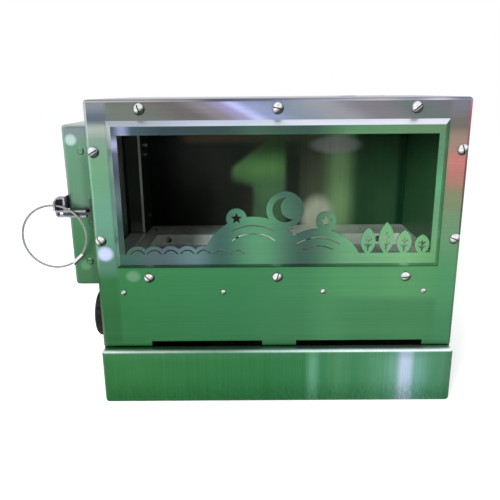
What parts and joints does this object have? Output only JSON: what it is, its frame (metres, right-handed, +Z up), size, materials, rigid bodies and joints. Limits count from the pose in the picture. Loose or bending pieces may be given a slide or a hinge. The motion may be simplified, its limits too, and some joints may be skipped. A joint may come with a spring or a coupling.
{
  "type": "camping wood stove",
  "caption": "Box-shaped sheet steel camping wood stove with a framed glass window, a side loading door, a rotary air regulator, an ash drawer and a chimney socket.",
  "frame": {"origin": "on the floor under the middle of the firebox body", "axes": "+X to the right seen from the window, +Y to the back, +Z up"},
  "size_m": [0.4799, 0.252, 0.342],
  "materials": {
    "panel_steel": "polished stainless sheet with a green reflection, hairline grain low down",
    "firebox_steel": "plain mill steel, darker inside",
    "fastener_steel": "polished",
    "hinge_steel": "satin",
    "cable_steel": "stranded steel cable",
    "clear_glass": "clear ceramic glass",
    "rope_gasket": "woven fibreglass rope",
    "black_iron": "black heat-proof paint"
  },
  "bodies": {
    "stove": {"front_panel": "panel_steel", "body_shell": "panel_steel", "back_panel": "panel_steel", "window_frame": "panel_steel", "glass_gasket": "rope_gasket", "glass_pane": "clear_glass", "glass_retainer": "firebox_steel", "window_screws": "fastener_steel", "window_nuts": "fastener_steel", "floor_plate": "firebox_steel", "floor_screws": "fastener_steel", "floor_nuts": "fastener_steel", "rear_air_channel": "firebox_steel", "left_air_channel": "firebox_steel", "right_air_channel": "firebox_steel", "channel_rivets": "fastener_steel", "channel_bolts": "fastener_steel", "left_liner": "firebox_steel", "door_throat": "firebox_steel", "wall_hinge_lower": "hinge_steel", "wall_hinge_upper": "hinge_steel", "hinge_pins": "hinge_steel", "hinge_bolts": "fastener_steel", "hinge_nuts": "fastener_steel", "latch_keeper": "hinge_steel", "keeper_screws": "fastener_steel", "flue_socket": "firebox_steel", "base_frame": "panel_steel", "base_screws": "fastener_steel", "base_nuts": "fastener_steel", "regulator_screw": "fastener_steel", "regulator_nut": "fastener_steel"},
    "loading_door": {"side_door": "panel_steel", "door_liner": "firebox_steel", "door_gasket": "rope_gasket", "door_hinge_lower": "hinge_steel", "door_hinge_upper": "hinge_steel", "door_rivets": "fastener_steel", "latch_clip": "hinge_steel", "clip_spacer": "black_iron", "clip_rivets": "fastener_steel"},
    "latch_ring": {"pull_ring": "cable_steel", "ring_barrel": "fastener_steel"},
    "regulator": {"air_regulator": "black_iron"},
    "drawer": {"ash_drawer": "firebox_steel", "drawer_front": "panel_steel"}
  },
  "joints": [
    {"name": "side_door_hinge", "type": "hinge", "parent": "stove", "child": "loading_door", "pos_m": [-0.205, 0.077, 0.22675], "axis": [0, 0, -1], "range_deg": [0, 95]},
    {"name": "ash_drawer_slide", "type": "slide", "parent": "stove", "child": "drawer", "axis": [0, -1, 0], "range_m": [0, 0.2]},
    {"name": "air_regulator_turn", "type": "hinge", "parent": "stove", "child": "regulator", "pos_m": [-0.205, -0.084, 0.096], "axis": [1, 0, 0], "range_deg": [0, 60]},
    {"name": "pull_ring_swing", "type": "hinge", "parent": "loading_door", "child": "latch_ring", "pos_m": [-0.24, -0.116, 0.23205], "axis": [-1, 0, 0], "range_deg": [0, 90]}
  ]
}
